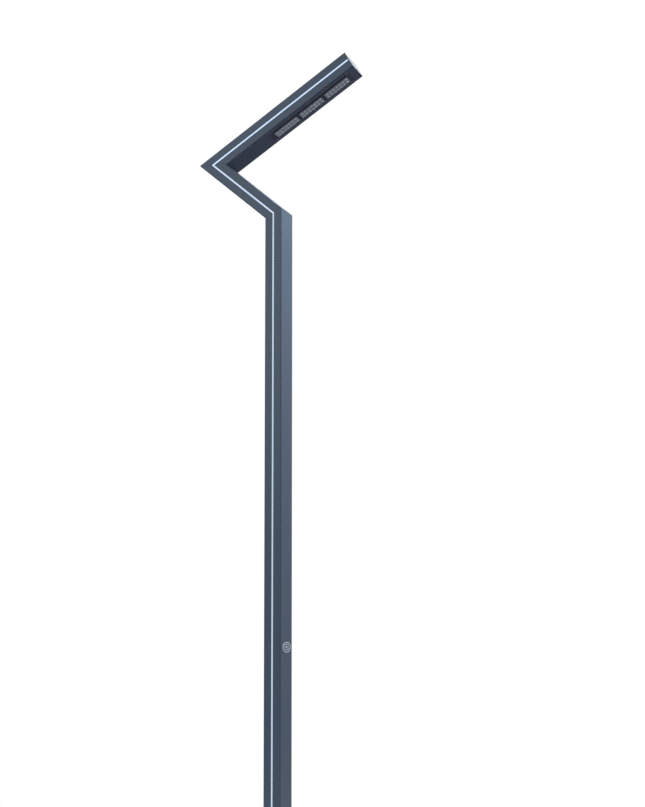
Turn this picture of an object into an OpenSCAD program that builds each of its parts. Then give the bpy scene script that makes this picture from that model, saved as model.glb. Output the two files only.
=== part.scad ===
// Street lamp post: a box-section mast, a knee that leans back and a head arm that reaches forward.
// The frame's origin is the centre of the base plate's underside, with +Z up.
// The light line faces -Y, the knee rises towards -X and the head arm rises towards +X.

/* [Mast] */
// Height of the bend where the mast meets the knee, on the centreline
bend_height = 3740; // [3000:10:4600]
// Thickness of the mast and both arms, seen from the front
profile_w = 100; // [96:1:130]
// Depth of the mast and both arms, front to back
profile_d = 160; // [156:1:200]
// Wall of the aluminium profile
wall = 4; // [3:0.5:5]
// Radius of the profile's long edges
corner_r = 6; // [6:0.5:10]

/* [Arms] */
// Length of the knee between the two bends, on the centreline
knee_length = 495; // [400:5:800]
// Rise of the knee above horizontal, in degrees
knee_rise = 40.5; // [30:0.5:60]
// Length of the head arm from the upper bend to its tip
head_length = 965; // [900:5:1200]
// Rise of the head arm above horizontal, in degrees
head_rise = 31; // [15:0.5:40]

/* [Base] */
// Side of the square base plate
plate_size = 280; // [270:5:400]
// Thickness of the base plate
plate_t = 14; // [10:1:20]
// Corner radius of the base plate
plate_corner_r = 20; // [10:1:30]
// Distance between neighbouring anchor holes
anchor_pitch = 210; // [205:5:240]
// Diameter of an anchor hole
anchor_hole_d = 18; // [14:1:22]
// Diameter of the cable hole in the base plate
cable_hole_d = 64; // [50:1:76]
// Height of a gusset
gusset_h = 90; // [60:5:160]
// How far a gusset reaches out along the base plate
gusset_reach = 62; // [40:1:70]
// Thickness of a gusset
gusset_t = 8; // [6:1:10]
// Distance between the two gussets on one side
gusset_spread = 96; // [60:1:120]

/* [Light line] */
// Visible width of the light line
line_w = 9; // [7:0.5:12]
// Depth of the groove that holds it
line_depth = 12; // [10:0.5:16]
// Wall of the groove's channel
channel_wall = 2.5; // [2:0.5:3]
// Ledge on each side of the groove, which the diffuser rests on
ledge_w = 0.8; // [0.5:0.1:1]
// Thickness of the diffuser
diffuser_t = 5; // [3:0.5:6]
// Thickness of the light tape
tape_t = 1.6; // [1:0.1:2.5]
// Height of the plug that ends the groove at the base plate
line_stop_h = 20; // [10:1:40]

/* [Corner splices] */
// Reach of each leg of a splice from its bend
splice_leg = 130; // [120:5:150]
// Wall of a splice
splice_wall = 5; // [4:0.5:8]
// Distance of the splice screws from the bend
splice_screw_reach = 108; // [100:1:110]
// Distance between the two screws of one leg
splice_screw_gap = 44; // [30:1:56]

/* [End cap] */
// Thickness of the end cap
cap_t = 5.5; // [3:0.5:10]
// Thickness of the gasket behind the end cap
cap_gasket_t = 1; // [0.5:0.5:2]
// Side of the lugs that take the end cap's screws
lug_size = 12; // [10:1:14]
// Length of these lugs
lug_length = 18; // [12:1:24]

/* [Light modules] */
// Length of one lens plate
lens_length = 168; // [120:1:200]
// Width of one lens plate
lens_width = 75; // [60:1:90]
// Thickness of a lens plate
lens_t = 3; // [2:0.5:5]
// Gap between neighbouring lens plates
lens_gap = 8; // [6:1:14]
// Distance from the head's tip to the nearest lens plate
lens_to_tip = 64; // [62:1:90]
// Lens domes along one plate
dome_columns = 7; // [4:1:9]
// Lens domes across one plate
dome_rows = 2; // [1:1:3]
// Share of a dome's room that it fills
dome_fill = 0.88; // [0.6:0.01:0.95]
// Height of a dome
dome_h = 3; // [2:0.5:5]
// Thickness of the gasket under a lens plate
lens_gasket_t = 1; // [0.5:0.5:2]
// Width of the gasket, which is the lens plate's rim
lens_rim = 9; // [8:0.5:10]
// Thickness of a heat sink's base
sink_base_t = 5; // [4:0.5:8]
// Height of a heat sink's fins
fin_h = 14; // [8:1:20]
// Fins on one heat sink
fin_count = 9; // [5:1:11]
// Thickness of one fin
fin_t = 2; // [1.5:0.5:3]

/* [Module tray] */
// Margin of the tray's outer land around the row of lens plates
tray_margin = 22; // [16:1:24]
// Width of the opening that the tray closes
tray_opening_w = 96; // [92:1:98]
// Width of the flange inside the profile, around the opening
tray_flange = 12; // [11:0.5:14]
// Thickness of that flange
tray_flange_t = 3; // [2:0.5:5]

/* [Access door] */
// Height of the service opening's lower edge above the ground
opening_bottom = 360; // [250:10:800]
// Height of the service opening
opening_h = 300; // [290:5:400]
// Width of the service opening
opening_w = 96; // [92:1:104]
// Overlap of the door around the opening
door_overlap = 8; // [6:0.5:10]
// Thickness of the door
door_t = 3; // [2:0.5:5]
// Thickness of the door's gasket
door_gasket_t = 2; // [1:0.5:3]
// Radius of a hinge barrel
barrel_r = 4.5; // [4:0.5:6]
// Radius of a hinge pin
pin_r = 2.5; // [2:0.1:3]
// Length of one hinge knuckle
knuckle_h = 18; // [12:1:30]
// Distance of each hinge from the door's end
hinge_inset = 60; // [40:1:80]
// Radius of the lock's housing
lock_r = 8; // [7:0.5:9]
// Radius of the lock's spindle
spindle_r = 4; // [3:0.5:5]
// Distance of the lock's axis from the opening's edge
lock_inset = 12; // [11:0.5:16]
// Reach of the cam's finger from the lock's axis
finger_reach = 26; // [22:1:30]

/* [Gear] */
// Height of the gear plate
gear_plate_h = 280; // [270:5:300]
// Width of the gear plate
gear_plate_w = 84; // [84:1:100]
// Thickness of the gear plate
gear_plate_t = 3; // [2:0.5:4]
// Length of the studs' shoulders, which hold the gear plate off the wall
stud_shoulder = 5; // [3:0.5:10]
// Depth of the main driver, out from the plate
driver_depth = 32; // [20:1:36]
// Length of both drivers with their ears
driver_length = 124; // [110:1:124]
// Width of the main driver
driver_w = 46; // [40:1:46]
// Width of the light line's driver
line_driver_w = 30; // [24:1:30]
// Depth of the breaker and the surge protector
breaker_depth = 55; // [45:1:58]
// Height of the breaker and the surge protector
breaker_h = 84; // [70:1:84]
// Width of the breaker and the surge protector
breaker_w = 18; // [18:0.5:19]
// Turn of the breaker's toggle from on to off, in degrees
toggle_turn = 44; // [30:1:50]

/* [Medallion] */
// Height of the medallion's centre
badge_height = 1335; // [1200:5:2500]
// Width of the oval medallion
badge_w = 112; // [80:1:140]
// Height of the oval medallion
badge_h = 60; // [40:1:80]
// Thickness of the medallion
badge_t = 2.5; // [2:0.5:4]

/* [Hidden] */
$fn = 48;

// Fits between pieces
snug = 0.1;          // a piece that is pushed into its seat
loose = 0.4;         // a panel in its opening
running = 0.06;      // a shaft that turns in its bore
gap = 0.3;           // between pieces that pass each other
bite = 0.5;          // how far a cutter runs past the face it cuts

// Places along the post
knee_tilt = knee_rise - 90;
head_tilt = 90 - head_rise;
low_mitre = knee_tilt / 2;
high_mitre = (knee_tilt + head_tilt) / 2;
low_bend = [0, 0, bend_height];
high_bend = low_bend + knee_length * [-cos(knee_rise), 0, sin(knee_rise)];
far = 2 * (bend_height + knee_length + head_length);
half_w = profile_w / 2;
half_d = profile_d / 2;
inner_w = profile_w - 2 * wall;
inner_d = profile_d - 2 * wall;
head_profile_end = head_length - cap_t - cap_gasket_t;

// Light line
channel_w = line_w + 2 * channel_wall;
line_floor = -half_d + line_depth;
channel_back = line_floor + channel_wall;
line_start = plate_t + line_stop_h;

// Splices
splice_w = inner_w - 2 * snug;
splice_front = channel_back + gap;
splice_back = half_d - wall - snug;
splice_d = splice_back - splice_front;
splice_screw_d = 6;
splice_screw_head_d = 11;
splice_screw_length = 12;

// End cap
lug_x = inner_w / 2 - lug_size / 2;
lug_y = inner_d / 2 - lug_size / 2;
cap_screw_d = 4;
cap_screw_head_d = 8;
cap_screw_length = 18;

// Light modules, in the head's frame: x points out of the underside and z runs to the tip
module_pitch = lens_length + lens_gap;
row_end = head_length - lens_to_tip;
row_start = row_end - 3 * lens_length - 2 * lens_gap;
row_middle = (row_start + row_end) / 2;
row_length = row_end - row_start;
tray_length = row_length + 2 * tray_margin;
tray_inner = half_w - wall - tray_flange_t;
pocket_length = lens_length - 2 * lens_rim;
pocket_width = lens_width - 2 * lens_rim;
dome_pitch_long = pocket_length / dome_columns;
dome_pitch_cross = pocket_width / dome_rows;
dome_d = dome_fill * min(dome_pitch_long, dome_pitch_cross);
board_t = 1.6;
led_d = 3.5;
led_h = 1.2;
lens_back = half_w + lens_gasket_t;
lens_face = lens_back + lens_t;
module_corner_r = 5;
pocket_corner_r = 3;
module_screw_d = 4;
module_screw_head_d = 7;
module_screw_head_h = 2.2;
module_screw_z = lens_length / 2 - 7;
module_screw_y = lens_width / 2 - 6.5;
sink_w = lens_width + 8;
sink_length = lens_length - 2;
dome_sphere_r = (pow(dome_d / 2, 2) + pow(dome_h, 2)) / (2 * dome_h);
tray_screw_d = 4;
tray_screw_head_d = 7.6;
tray_screw_length = 9;
tray_screw_y = tray_opening_w / 2 + tray_flange / 2;
tray_screws_per_side = 5;

// Access door, on the face that looks to -X
opening_middle = opening_bottom + opening_h / 2;
opening_corner_r = 10;
door_w = opening_w + 2 * door_overlap;
door_h = opening_h + 2 * door_overlap;
door_back = -half_w - door_gasket_t;
door_face = door_back - door_t;
door_gasket_rim = 5;
hinge_x = -half_w - bite - barrel_r;
hinge_y = door_w / 2 + bite + barrel_r;
hinge_heights = [
    opening_middle - door_h / 2 + hinge_inset,
    opening_middle + door_h / 2 - hinge_inset
];
lock_y = -opening_w / 2 + lock_inset;
lock_flange_r = lock_r + 3;
lock_flange_t = 2;
cam_back = -half_w + wall + gap;
cam_t = 3;
finger_w = 10;
lock_nut_r = 5;
lock_nut_h = 4;

// Gear, on a plate in front of the wall that faces +X
gear_wall = half_w - wall;
gear_back = gear_wall - stud_shoulder;
gear_face = gear_back - gear_plate_t;
gear_bottom = opening_middle - gear_plate_h / 2;
stud_y = gear_plate_w / 2 - 8;
stud_z = gear_plate_h / 2 - 14;
stud_r = 2.5;
stud_length = 8;
stud_nut_r = 4.6;
stud_nut_h = 4;
driver_bottom = gear_bottom + 130;
driver_y = -17;
line_driver_y = 25;
line_driver_depth = 20;
ear_length = 8;
ear_t = 3;
driver_screw_r = 2;
driver_screw_head_r = 3.5;
rail_h = 35;
rail_depth = 7.5;
rail_t = 1;
rail_z = gear_bottom + 76;
breaker_face = gear_face - rail_depth - breaker_depth;
breaker_y = -26;
surge_y = -5;
terminal_y = 24;
terminal_w = 30;
terminal_h = 46;
terminal_depth = 30;
toggle_r = 4.5;
toggle_w = 9.4;
lever_w = 8;
toggle_x = breaker_face + 5.5;
toggle_reach = 13;
toggle_t = 4;
toggle_pin_r = 1;
toggle_pin_w = 14;
toggle_pocket_h = 24;
toggle_pocket_depth = 11;
earth_r = 4;
earth_length = 18;
earth_nut_r = 7.5;
earth_nut_h = 6.5;
earth_z = gear_bottom + 16;

// Medallion
badge_sides = 72;
badge_rim_w = 6;
badge_dish = 1.2;
badge_ring = 0.58;
badge_ring_w = 4;
badge_hub = 0.22;
badge_pin_r = 1.5;
badge_pin_length = 6;
badge_pin_y = badge_w / 4;

coated = "#4d5a70";
dark_coated = "#2b303c";
steel = "#a9adb3";
rubber_black = "#1d1d20";
opal = "#e8f2ff";

// ---- Shapes that repeat ----

module rounded_rect(w, d, r) {
    square([w - 2 * r, d], center = true);
    square([w, d - 2 * r], center = true);
    for (x = [-1, 1], y = [-1, 1])
        translate([x * (w / 2 - r), y * (d / 2 - r)])
            circle(r);
}

module ring_2d(w, d, r, rim, inner_r) {
    difference() {
        rounded_rect(w, d, r);
        rounded_rect(w - 2 * rim, d - 2 * rim, inner_r);
    }
}

// Everything on one side of a mitre plane: side 1 is above it and side -1 is below
module half_space(point, tilt, side) {
    translate(point)
        rotate([0, tilt, 0])
            translate([-far / 2, -far / 2, side > 0 ? 0 : -far])
                cube(far);
}

module on_knee() {
    translate(low_bend)
        rotate([0, knee_tilt, 0])
            children();
}

module on_head() {
    translate(high_bend)
        rotate([0, head_tilt, 0])
            children();
}

// A section run up the mast from a height to the lower mitre
module mast_run(from) {
    intersection() {
        translate([0, 0, from])
            linear_extrude(bend_height + profile_w - from)
                children();
        half_space(low_bend, low_mitre, -1);
    }
}

// A section run along the knee between two distances from the lower bend
module knee_run(from, to) {
    intersection() {
        on_knee()
            translate([0, 0, from])
                linear_extrude(to - from)
                    children();
        half_space(low_bend, low_mitre, 1);
        half_space(high_bend, high_mitre, -1);
    }
}

// A section run along the head from the upper mitre to a distance from the upper bend
module head_run(to) {
    intersection() {
        on_head()
            translate([0, 0, -profile_w])
                linear_extrude(to + profile_w)
                    children();
        half_space(high_bend, high_mitre, 1);
    }
}

// Countersunk screw with its head's face at z = 0 and its shank towards -z
module countersunk_screw(d, head_d, length) {
    head_h = (head_d - d) / 2;
    difference() {
        union() {
            translate([0, 0, -head_h])
                cylinder(h = head_h, r1 = d / 2, r2 = head_d / 2);
            translate([0, 0, -length])
                cylinder(h = length - head_h, r = d / 2);
        }
        translate([0, 0, -head_h * 0.7])
            cylinder(h = head_h, r = d * 0.33, $fn = 6);
    }
}

// The hole for such a screw through a plate of thickness t
module countersunk_hole(d, head_d, t) {
    head_h = (head_d - d) / 2;
    translate([0, 0, -head_h])
        cylinder(h = head_h + snug, r1 = d / 2 + snug, r2 = head_d / 2 + 2 * snug);
    translate([0, 0, -t - bite])
        cylinder(h = t + 2 * bite, r = d / 2 + snug);
}

// ---- Profiles ----

module profile_section() {
    difference() {
        union() {
            ring_2d(profile_w, profile_d, corner_r, wall, corner_r - wall / 2);
            translate([-channel_w / 2, -half_d + wall / 2])
                square([channel_w, line_depth + channel_wall - wall / 2]);
        }
        translate([-line_w / 2, -half_d - bite])
            square([line_w, diffuser_t + bite]);
        translate([-line_w / 2 + ledge_w, -half_d])
            square([line_w - 2 * ledge_w, line_depth]);
    }
}

// Holes for the splice screws through the back face of one leg: dir 1 runs up it and -1 down it
module at_splice_screws(dir) {
    for (x = [-1, 1])
        translate([x * splice_screw_gap / 2, half_d, dir * splice_screw_reach])
            rotate([-90, 0, 0])
                children();
}

module splice_hole() {
    countersunk_hole(splice_screw_d, splice_screw_head_d, wall);
}

module at_tray_screws() {
    pitch = (tray_length - 2 * tray_flange) / (tray_screws_per_side - 1);
    for (y = [-1, 1], i = [0 : tray_screws_per_side - 1])
        translate([half_w, y * tray_screw_y, row_middle + (i - (tray_screws_per_side - 1) / 2) * pitch])
            rotate([0, 90, 0])
                children();
}

module base_plate() {
    color(coated)
        difference() {
            linear_extrude(plate_t)
                rounded_rect(plate_size, plate_size, plate_corner_r);
            for (x = [-1, 1], y = [-1, 1])
                translate([x * anchor_pitch / 2, y * anchor_pitch / 2, -bite])
                    cylinder(h = plate_t + 2 * bite, d = anchor_hole_d);
            translate([0, 0, -bite])
                cylinder(h = plate_t + 2 * bite, d = cable_hole_d);
        }
}

module base_gussets() {
    toe = 6;
    color(coated)
        for (side = [-1, 1], y = [-1, 1])
            translate([side * half_w, y * gusset_spread / 2 + gusset_t / 2, plate_t])
                rotate([90, 0, 0])
                    linear_extrude(gusset_t)
                        polygon([
                            [0, 0], [side * gusset_reach, 0], [side * gusset_reach, toe],
                            [side * toe, gusset_h], [0, gusset_h]
                        ]);
}

module mast_profile() {
    color(coated)
        difference() {
            mast_run(plate_t) profile_section();
            translate([-half_w - bite, 0, opening_middle])
                rotate([90, 0, 90])
                    linear_extrude(wall + 2 * bite)
                        rounded_rect(opening_w, opening_h, opening_corner_r);
            translate(low_bend)
                at_splice_screws(-1) splice_hole();
            for (y = [-1, 1])
                translate([half_w - wall - bite, y * badge_pin_y, badge_height])
                    rotate([0, 90, 0])
                        cylinder(h = wall + 2 * bite, r = badge_pin_r + snug);
        }
}

module knee_profile() {
    color(coated)
        difference() {
            knee_run(-profile_w, knee_length + profile_w) profile_section();
            on_knee() {
                at_splice_screws(1) splice_hole();
                translate([0, 0, knee_length])
                    at_splice_screws(-1) splice_hole();
            }
        }
}

module head_profile() {
    color(coated)
        difference() {
            head_run(head_profile_end) profile_section();
            on_head() {
                at_splice_screws(1) splice_hole();
                translate([half_w - wall - bite, 0, row_middle])
                    rotate([90, 0, 90])
                        linear_extrude(wall + 2 * bite)
                            rounded_rect(tray_opening_w, tray_length, module_corner_r);
                at_tray_screws()
                    countersunk_hole(tray_screw_d, tray_screw_head_d, wall);
            }
        }
}

// ---- Corner splices ----

module splice_section() {
    translate([0, (splice_front + splice_back) / 2])
        ring_2d(splice_w, splice_d, corner_r - wall / 2, splice_wall, 1);
}

module splice_tap() {
    translate([0, 0, -wall - splice_wall - 2 * bite])
        cylinder(h = splice_wall + 2 * bite, d = splice_screw_d);
}

module knee_splice() {
    color("#8d949c")
        difference() {
            union() {
                mast_run(bend_height - splice_leg) splice_section();
                knee_run(-profile_w, splice_leg) splice_section();
            }
            translate(low_bend)
                at_splice_screws(-1) splice_tap();
            on_knee()
                at_splice_screws(1) splice_tap();
        }
}

module head_splice() {
    color("#8d949c")
        difference() {
            union() {
                knee_run(knee_length - splice_leg, knee_length + profile_w) splice_section();
                head_run(splice_leg) splice_section();
            }
            on_knee()
                translate([0, 0, knee_length])
                    at_splice_screws(-1) splice_tap();
            on_head()
                at_splice_screws(1) splice_tap();
        }
}

module splice_screw() {
    countersunk_screw(splice_screw_d, splice_screw_head_d, splice_screw_length);
}

module knee_splice_screws() {
    color(steel) {
        translate(low_bend)
            at_splice_screws(-1) splice_screw();
        on_knee()
            at_splice_screws(1) splice_screw();
    }
}

module head_splice_screws() {
    color(steel) {
        on_knee()
            translate([0, 0, knee_length])
                at_splice_screws(-1) splice_screw();
        on_head()
            at_splice_screws(1) splice_screw();
    }
}

// ---- End cap ----

module at_lugs(z) {
    for (x = [-1, 1], y = [-1, 1])
        translate([x * lug_x, y * lug_y, z])
            children();
}

module end_cap() {
    color(coated)
        on_head()
            difference() {
                translate([0, 0, head_length - cap_t])
                    linear_extrude(cap_t)
                        rounded_rect(profile_w, profile_d, corner_r);
                at_lugs(head_length)
                    countersunk_hole(cap_screw_d, cap_screw_head_d, cap_t);
            }
}

module end_cap_gasket() {
    color(rubber_black)
        on_head()
            difference() {
                translate([0, 0, head_profile_end])
                    linear_extrude(cap_gasket_t)
                        ring_2d(profile_w, profile_d, corner_r, wall + lug_size, 2);
                at_lugs(head_profile_end - bite)
                    cylinder(h = cap_gasket_t + 2 * bite, r = cap_screw_d / 2 + snug);
            }
}

module end_cap_lugs() {
    color("#8d949c")
        on_head()
            difference() {
                intersection() {
                    at_lugs(head_profile_end - lug_length)
                        translate([-lug_size / 2, -lug_size / 2, 0])
                            cube([lug_size, lug_size, lug_length]);
                    translate([0, 0, head_profile_end - lug_length - bite])
                        linear_extrude(lug_length + 2 * bite)
                            rounded_rect(inner_w, inner_d, corner_r - wall / 2);
                }
                at_lugs(head_profile_end - lug_length - bite)
                    cylinder(h = lug_length + 2 * bite, d = cap_screw_d);
            }
}

module end_cap_screws() {
    color(steel)
        on_head()
            at_lugs(head_length)
                countersunk_screw(cap_screw_d, cap_screw_head_d, cap_screw_length);
}

// ---- Light line ----

module diffuser_section() {
    translate([-line_w / 2 + snug, -half_d])
        square([line_w - 2 * snug, diffuser_t]);
}

module tape_section() {
    tape_w = line_w - 2 * ledge_w - 2 * snug;
    translate([-tape_w / 2, line_floor - tape_t])
        square([tape_w, tape_t]);
}

module line_stop() {
    foot_w = line_w - 2 * ledge_w - 2 * snug;
    color(rubber_black)
        translate([0, 0, plate_t])
            linear_extrude(line_stop_h) {
                diffuser_section();
                translate([-foot_w / 2, -half_d + diffuser_t / 2])
                    square([foot_w, line_depth - diffuser_t / 2]);
            }
}

module mast_diffuser() {
    color(opal)
        mast_run(line_start) diffuser_section();
}

module knee_diffuser() {
    color(opal)
        knee_run(-profile_w, knee_length + profile_w) diffuser_section();
}

module head_diffuser() {
    color(opal)
        head_run(head_profile_end) diffuser_section();
}

module mast_led_tape() {
    color("#f3e9b5")
        mast_run(line_start) tape_section();
}

module knee_led_tape() {
    color("#f3e9b5")
        knee_run(-profile_w, knee_length + profile_w) tape_section();
}

module head_led_tape() {
    color("#f3e9b5")
        head_run(head_profile_end) tape_section();
}

// ---- Light modules ----

// Turns a drawing so that its x runs across the head, its y towards the tip and its depth out of the
// underside, starting at the distance x from the centreline
module on_underside(x, z) {
    on_head()
        translate([x, 0, z])
            rotate([90, 0, 90])
                children();
}

function module_z(i) = row_middle + (i - 2) * module_pitch;

module at_module_screws() {
    for (x = [-1, 1], y = [-1, 1])
        translate([x * module_screw_y, y * module_screw_z, 0])
            children();
}

module at_domes() {
    for (row = [0 : dome_rows - 1], column = [0 : dome_columns - 1])
        translate([
            (row - (dome_rows - 1) / 2) * dome_pitch_cross,
            (column - (dome_columns - 1) / 2) * dome_pitch_long,
            0
        ])
            children();
}

module module_tray() {
    color(dark_coated)
        difference() {
            union() {
                on_underside(tray_inner, row_middle)
                    linear_extrude(tray_flange_t)
                        rounded_rect(tray_opening_w + 2 * tray_flange, tray_length + 2 * tray_flange, module_corner_r);
                on_underside(tray_inner + tray_flange_t - bite, row_middle)
                    linear_extrude(wall + bite)
                        rounded_rect(tray_opening_w - 2 * loose, tray_length - 2 * loose, module_corner_r - loose);
            }
            for (i = [1 : 3])
                on_underside(tray_inner - bite, module_z(i)) {
                    linear_extrude(wall + tray_flange_t + 2 * bite)
                        rounded_rect(pocket_width, pocket_length, pocket_corner_r);
                    at_module_screws()
                        cylinder(h = wall + tray_flange_t + 2 * bite, r = module_screw_d / 2 + snug);
                }
            on_head()
                at_tray_screws()
                    translate([0, 0, -wall - tray_flange_t - bite])
                        cylinder(h = wall + tray_flange_t, d = tray_screw_d);
        }
}

module tray_screws() {
    color(steel)
        on_head()
            at_tray_screws()
                countersunk_screw(tray_screw_d, tray_screw_head_d, tray_screw_length);
}

module module_heatsink(i) {
    fin_pitch = (sink_w - fin_t) / (fin_count - 1);
    color("#b9bdc4")
        on_underside(tray_inner - sink_base_t, module_z(i))
            difference() {
                union() {
                    translate([-sink_w / 2, -sink_length / 2, 0])
                        cube([sink_w, sink_length, sink_base_t]);
                    for (k = [0 : fin_count - 1])
                        translate([-sink_w / 2 + k * fin_pitch, -sink_length / 2, -fin_h])
                            cube([fin_t, sink_length, fin_h + bite]);
                }
                at_module_screws()
                    translate([0, 0, -fin_h - bite])
                        cylinder(h = sink_base_t + fin_h + 2 * bite, d = module_screw_d);
            }
}

module module_board(i) {
    color("#e9ecef")
        on_underside(tray_inner, module_z(i))
            linear_extrude(board_t)
                rounded_rect(pocket_width - 2 * loose, pocket_length - 2 * loose, pocket_corner_r - loose);
}

module module_leds(i) {
    color("#f4e27a")
        on_underside(tray_inner + board_t, module_z(i))
            at_domes()
                cylinder(h = led_h, d = led_d);
}

module module_gaskets() {
    color(rubber_black)
        for (i = [1 : 3])
            on_underside(half_w, module_z(i))
                linear_extrude(lens_gasket_t)
                    difference() {
                        ring_2d(lens_width, lens_length, module_corner_r, lens_rim, pocket_corner_r);
                        at_module_screws()
                            circle(module_screw_d / 2 + snug);
                    }
}

module module_lens(i) {
    color("#c6cbd6")
        on_underside(lens_back, module_z(i))
            difference() {
                union() {
                    linear_extrude(lens_t)
                        rounded_rect(lens_width, lens_length, module_corner_r);
                    at_domes()
                        intersection() {
                            translate([0, 0, lens_t + dome_h - dome_sphere_r])
                                sphere(dome_sphere_r);
                            translate([0, 0, lens_t / 2])
                                cylinder(h = lens_t / 2 + dome_h, d = dome_d);
                        }
                }
                at_module_screws()
                    translate([0, 0, -bite])
                        cylinder(h = lens_t + 2 * bite, r = module_screw_d / 2 + snug);
            }
}

module module_screws() {
    shank = lens_t + lens_gasket_t + wall + tray_flange_t + sink_base_t;
    color(steel)
        for (i = [1 : 3])
            on_underside(lens_face, module_z(i))
                at_module_screws()
                    difference() {
                        union() {
                            translate([0, 0, -shank])
                                cylinder(h = shank, d = module_screw_d);
                            cylinder(h = module_screw_head_h, d = module_screw_head_d);
                        }
                        translate([0, 0, module_screw_head_h / 2])
                            cylinder(h = module_screw_head_h, r = module_screw_d * 0.4, $fn = 6);
                    }
}

// ---- Access door ----

// Turns a drawing so that its x runs along +Y, its y upwards and its depth towards +X
module on_side(x, z) {
    translate([x, 0, z])
        rotate([90, 0, 90])
            children();
}

// A barrel along Z at the hinge, joined to what carries it by a web towards +X or -Y
module knuckle(z, bore) {
    difference() {
        union() {
            translate([hinge_x, hinge_y, z])
                cylinder(h = knuckle_h, r = barrel_r);
            translate([0, 0, z])
                children();
        }
        translate([hinge_x, hinge_y, z - bite])
            cylinder(h = knuckle_h + 2 * bite, r = bore);
    }
}

module access_door() {
    color(coated)
        difference() {
            union() {
                on_side(door_face, opening_middle)
                    linear_extrude(door_t)
                        rounded_rect(door_w, door_h, opening_corner_r);
                for (z = hinge_heights)
                    knuckle(z + gap, pin_r + running)
                        translate([door_face, door_w / 2 - barrel_r, 0])
                            cube([door_t, barrel_r + bite + barrel_r, knuckle_h]);
            }
            translate([door_face - bite, lock_y, opening_middle])
                rotate([0, 90, 0])
                    cylinder(h = door_t + 2 * bite, r = lock_r);
        }
}

module door_gasket() {
    color(rubber_black)
        on_side(-half_w - door_gasket_t, opening_middle)
            linear_extrude(door_gasket_t)
                ring_2d(door_w, door_h, opening_corner_r, door_gasket_rim, opening_corner_r);
}

module hinge_knuckles() {
    color(coated)
        for (z = hinge_heights)
            knuckle(z - knuckle_h, pin_r)
                translate([hinge_x, hinge_y - barrel_r, 0])
                    cube([-half_w - hinge_x, 2 * barrel_r, knuckle_h]);
}

module hinge_pins() {
    color(steel)
        for (z = hinge_heights)
            translate([hinge_x, hinge_y, z - knuckle_h])
                cylinder(h = 2 * knuckle_h + gap, r = pin_r);
}

module on_lock(x) {
    translate([x, lock_y, opening_middle])
        rotate([0, 90, 0])
            children();
}

module lock_housing() {
    housing_h = cam_back - gap - door_face;
    color(steel)
        difference() {
            union() {
                on_lock(door_face - lock_flange_t)
                    cylinder(h = lock_flange_t, r = lock_flange_r);
                on_lock(door_face - bite)
                    cylinder(h = housing_h + bite, r = lock_r);
            }
            on_lock(door_face - lock_flange_t - bite)
                cylinder(h = housing_h + lock_flange_t + 2 * bite, r = spindle_r + running);
        }
}

// The cam's finger points up where the lock is open
module lock_cam() {
    spindle_front = door_face - lock_flange_t + 1;
    key_depth = 4;
    color("#7e838a")
        difference() {
            union() {
                on_lock(spindle_front)
                    cylinder(h = cam_back + cam_t - spindle_front, r = spindle_r);
                translate([cam_back, lock_y - finger_w / 2, opening_middle])
                    cube([cam_t, finger_w, finger_reach]);
                on_lock(cam_back)
                    cylinder(h = cam_t, r = finger_w / 2);
            }
            on_lock(spindle_front - bite)
                cylinder(h = key_depth, r = spindle_r * 0.7, $fn = 3);
        }
}

module lock_nut() {
    color(steel)
        on_lock(cam_back + cam_t)
            cylinder(h = lock_nut_h, r = lock_nut_r, $fn = 6);
}

// ---- Gear ----

module at_studs() {
    for (y = [-1, 1], z = [-1, 1])
        translate([0, y * stud_y, opening_middle + z * stud_z])
            rotate([0, -90, 0])
                children();
}

module gear_plate() {
    color("#c9ccd1")
        difference() {
            translate([gear_face, -gear_plate_w / 2, gear_bottom])
                cube([gear_plate_t, gear_plate_w, gear_plate_h]);
            translate([gear_back + bite, 0, 0])
                at_studs()
                    cylinder(h = gear_plate_t + 2 * bite, r = stud_r + snug);
        }
}

module gear_studs() {
    color(steel)
        translate([gear_wall, 0, 0])
            at_studs() {
                cylinder(h = stud_shoulder, r = 2 * stud_r);
                cylinder(h = stud_shoulder + gear_plate_t + stud_length, r = stud_r);
            }
}

module gear_nuts() {
    color(steel)
        translate([gear_face, 0, 0])
            at_studs()
                difference() {
                    cylinder(h = stud_nut_h, r = stud_nut_r, $fn = 6);
                    translate([0, 0, -bite])
                        cylinder(h = stud_nut_h + 2 * bite, r = stud_r);
                }
}

module at_ears() {
    for (z = [ear_length / 2, driver_length - ear_length / 2])
        translate([0, 0, z])
            rotate([0, -90, 0])
                children();
}

module driver(y, w, depth) {
    translate([gear_face, y, driver_bottom])
        difference() {
            union() {
                translate([-depth, -w / 2, ear_length])
                    cube([depth, w, driver_length - 2 * ear_length]);
                translate([-ear_t, -w / 2, 0])
                    cube([ear_t, w, driver_length]);
            }
            translate([bite, 0, 0])
                at_ears()
                    cylinder(h = ear_t + 2 * bite, r = driver_screw_r);
        }
}

module led_driver() {
    color("#d9dbde")
        driver(driver_y, driver_w, driver_depth);
}

module line_driver() {
    color("#eceef0")
        driver(line_driver_y, line_driver_w, line_driver_depth);
}

module driver_screws() {
    color(steel)
        for (y = [driver_y, line_driver_y])
            translate([gear_face, y, driver_bottom])
                at_ears() {
                    cylinder(h = ear_t, r = driver_screw_r);
                    translate([0, 0, ear_t])
                        cylinder(h = 2, r = driver_screw_head_r);
                }
}

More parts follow.
